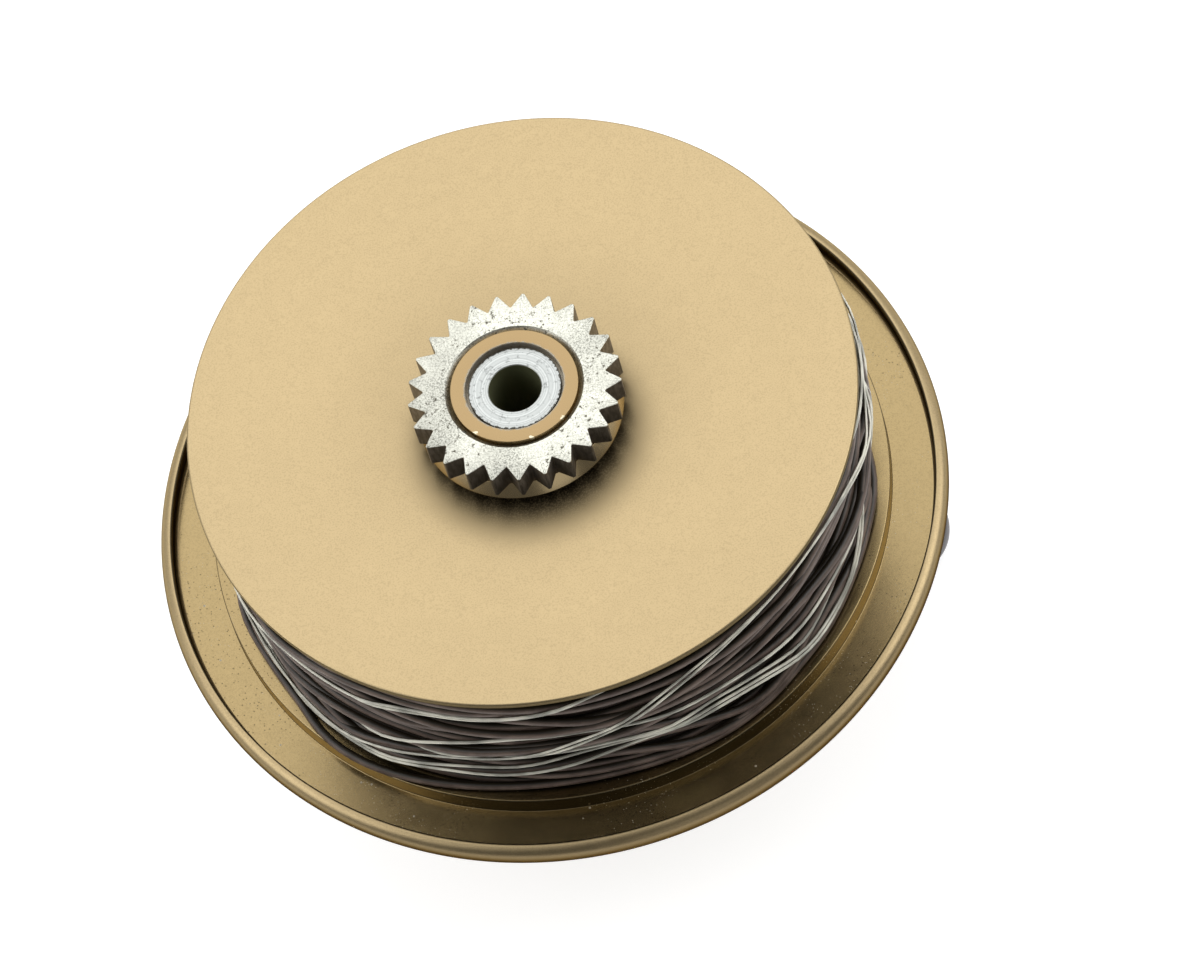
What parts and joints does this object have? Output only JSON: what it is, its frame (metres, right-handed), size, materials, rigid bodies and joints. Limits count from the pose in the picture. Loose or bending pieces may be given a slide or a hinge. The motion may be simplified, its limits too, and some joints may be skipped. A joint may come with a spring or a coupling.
{
  "type": "fly reel spool",
  "caption": "Wound fly reel spool: plain rear flange with ratchet gear and spindle bore, stepped front flange with palming rim, winding handle, counterweight and spring latch.",
  "frame": {"origin": "on the axis of the spindle bore, in the plane of the rear flange's edge, inside the rear bush", "axes": "+Z along the spindle bore, out of the ratchet side, which is the way the spindle leaves; +X towards the handle"},
  "size_m": [0.0922, 0.0922, 0.0495],
  "materials": {
    "bronze_anodise": "satin champagne anodising on a fine matt surface",
    "rim_anodise": "satin bronze anodising",
    "gear_steel": "worn bright steel with small dark pits",
    "bush_metal": "turned bright metal with ring marks",
    "bush_bronze": "sintered bronze",
    "backing": "braided polyester",
    "fly_line": "soft dark brown coating",
    "leader": "clear nylon",
    "plain_steel": "turned stainless",
    "nylon": "natural nylon",
    "knob_plastic": "turned black acetal"
  },
  "bodies": {
    "spool": {"rear_flange": "bronze_anodise", "spool_hub": "bronze_anodise", "ratchet_gear": "gear_steel", "rear_bush": "bush_metal", "front_bush": "bush_bronze", "arbor_drum": "bronze_anodise", "front_flange": "bronze_anodise", "palming_rim": "rim_anodise", "backing_line": "backing", "fly_line": "fly_line", "leader_line": "leader", "handle_post": "plain_steel", "handle_ferrule": "rim_anodise", "handle_washers": "nylon", "handle_screw": "plain_steel", "counterweight": "rim_anodise", "counterweight_screw": "plain_steel", "latch_base": "rim_anodise", "latch_spring": "plain_steel", "latch_cover": "rim_anodise", "latch_screws": "plain_steel"},
    "knob": {"handle_knob": "knob_plastic"},
    "latch": {"latch_slide": "plain_steel"}
  },
  "joints": [
    {"name": "knob_spin", "type": "hinge", "parent": "spool", "child": "knob", "pos_m": [0.039, 0, -0.0355], "axis": [0, 0, 1], "continuous": true},
    {"name": "latch_press", "type": "slide", "parent": "spool", "child": "latch", "axis": [0, -1, 0], "range_m": [0, 0.0015], "stiffness_N_per_m": 1200, "springref_m": -0.001, "deforming": ["latch_spring"]}
  ]
}
